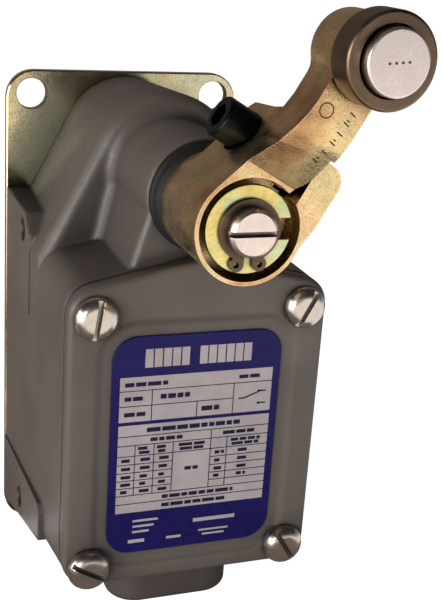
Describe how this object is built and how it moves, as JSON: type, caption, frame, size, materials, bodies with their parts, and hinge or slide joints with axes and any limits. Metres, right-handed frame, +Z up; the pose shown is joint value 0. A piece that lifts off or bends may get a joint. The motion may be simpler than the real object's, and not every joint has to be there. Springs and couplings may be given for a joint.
{
  "type": "lever limit switch",
  "caption": "Heavy-duty lever limit switch: grey cast enclosure on a plated steel plate, rotary head, clamped roller lever, spring return and double-break contacts inside.",
  "frame": {"origin": "centre of the four-hole pattern of the mounting plate, on the plate back face", "axes": "+X to the right seen from the front, +Y into the mounting surface (the switch faces -Y), +Z up along the plate"},
  "size_m": [0.0664, 0.1193, 0.1644],
  "materials": {
    "plate_steel": "yellow chromate over zinc",
    "gold_dichromate": "yellow chromate over zinc, warm and slightly brown",
    "grey_enamel": "grey enamel over cast metal, satin",
    "bright_nickel": "bright nickel plate",
    "bright_steel": "turned and ground",
    "black_rubber": "matt black",
    "nameplate_blue": "printed blue and white",
    "fibre": "pressed fibre",
    "bronze": "sintered bronze",
    "brass": "machined brass",
    "black_oxide": "black oxide",
    "roller_steel": "hardened, brown tint",
    "spring_steel": "drawn wire",
    "phenolic": "dark brown moulding",
    "white_moulding": "off-white moulding",
    "copper": "copper with silver tips",
    "green_enamel": "green enamel"
  },
  "bodies": {
    "enclosure": {"mounting_plate": "plate_steel", "plate_screws": "bright_nickel", "housing": "grey_enamel", "cover": "grey_enamel", "cover_gasket": "black_rubber", "cover_screws": "bright_nickel", "nameplate": "nameplate_blue", "cover_liner": "fibre", "shaft_seal": "black_rubber", "front_bushing": "bronze", "rear_bushing": "bronze", "centring_spring": "spring_steel", "plunger_guide": "brass", "contact_block_base": "phenolic", "contact_block_cover": "phenolic", "fixed_contacts": "brass", "terminal_screws": "bright_nickel", "terminal_clamps": "bright_nickel", "block_screws": "bright_nickel", "ground_screw": "green_enamel"},
    "lever_shaft": {"operating_shaft": "bright_steel", "shaft_o_ring": "black_rubber", "shaft_circlip": "bright_steel", "notched_washer": "gold_dichromate", "lever_arm": "gold_dichromate", "pinch_screw": "black_oxide", "pinch_lock_washer": "black_oxide", "roller_pin": "bright_steel", "shaft_cam": "bright_steel", "cam_pin": "bright_steel"},
    "roller_body": {"roller": "roller_steel", "roller_bushing": "bronze"},
    "carriage_body": {"plunger": "bright_steel", "contact_carriage": "white_moulding", "moving_contacts": "copper", "contact_springs": "spring_steel", "carriage_spring": "spring_steel"}
  },
  "joints": [
    {"name": "shaft_turn", "type": "hinge", "parent": "enclosure", "child": "lever_shaft", "pos_m": [0, -0.06, 0.05], "axis": [0, 1, 0], "range_deg": [-45, 45], "stiffness_Nm_per_rad": 1.6},
    {"name": "roller_spin", "type": "hinge", "parent": "lever_shaft", "child": "roller_body", "pos_m": [0.021, -0.113, 0.08637], "axis": [0, 1, 0], "continuous": true},
    {"name": "carriage_slide", "type": "slide", "parent": "enclosure", "child": "carriage_body", "axis": [0, 0, -1], "range_m": [-0.003, 0.003], "deforming": ["carriage_spring"]}
  ],
  "couplings": [
    {"joint": "carriage_slide", "follows": "shaft_turn", "m_per_rad": 0.003819}
  ]
}
